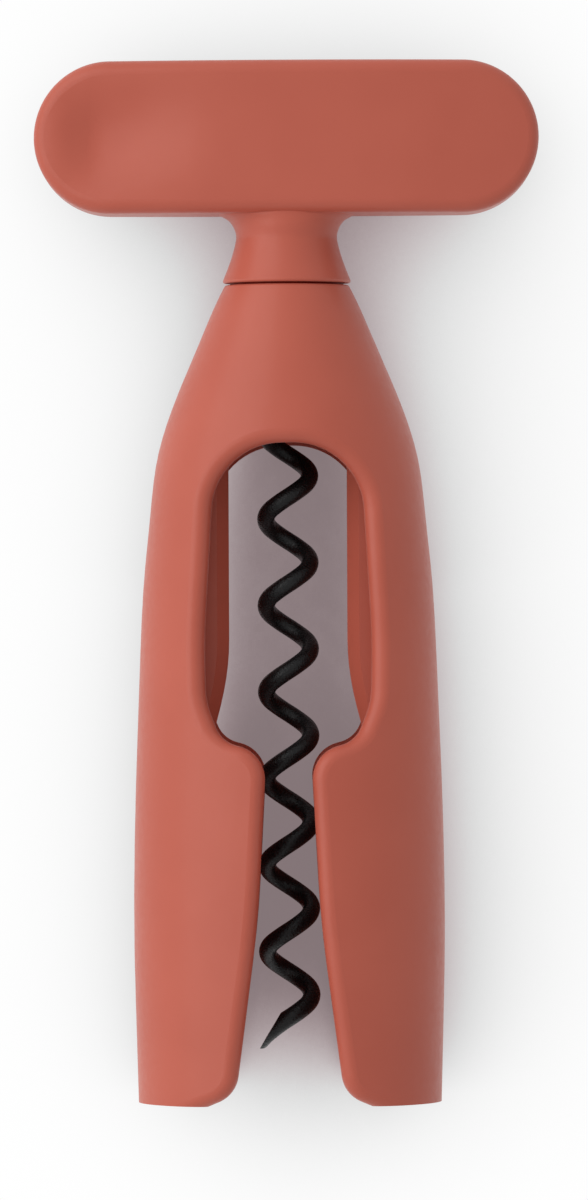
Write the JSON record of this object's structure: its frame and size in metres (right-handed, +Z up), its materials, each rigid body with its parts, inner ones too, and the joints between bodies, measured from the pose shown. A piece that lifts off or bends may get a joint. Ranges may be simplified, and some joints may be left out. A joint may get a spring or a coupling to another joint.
{
  "type": "corkscrew",
  "caption": "Self-pulling corkscrew: a T-handle turns a coated wire worm that slides through the top of a moulded frame with two legs that straddle the bottle neck.",
  "frame": {"origin": "on the floor between the two feet, on the worm's axis", "axes": "+Z up along the worm to the handle, +X along the handle, -Y the front that the picture shows"},
  "size_m": [0.0776, 0.0366, 0.1598],
  "materials": {
    "coral_plastic": "soft matte coral red, fine moulded grain",
    "bush_plastic": "black low-friction plastic",
    "washer_plastic": "black low-friction plastic",
    "core_plastic": "grey glass-filled plastic",
    "black_coating": "black non-stick coating on steel wire, satin",
    "dowel_steel": "plain steel"
  },
  "bodies": {
    "frame": {"frame_shell": "coral_plastic", "guide_bush": "bush_plastic"},
    "slip_washer": {"thrust_washer": "washer_plastic"},
    "handle": {"handle_front_shell": "coral_plastic", "handle_rear_shell": "coral_plastic", "handle_core": "core_plastic", "worm": "black_coating", "locating_dowels": "dowel_steel"}
  },
  "joints": [
    {"name": "handle_spin", "type": "hinge", "parent": "frame", "child": "slip_washer", "pos_m": [0, 0, 0.125], "axis": [0, 0, 1], "continuous": true},
    {"name": "handle_lift", "type": "slide", "parent": "slip_washer", "child": "handle", "axis": [0, 0, 1], "range_m": [0, 0.115]}
  ]
}
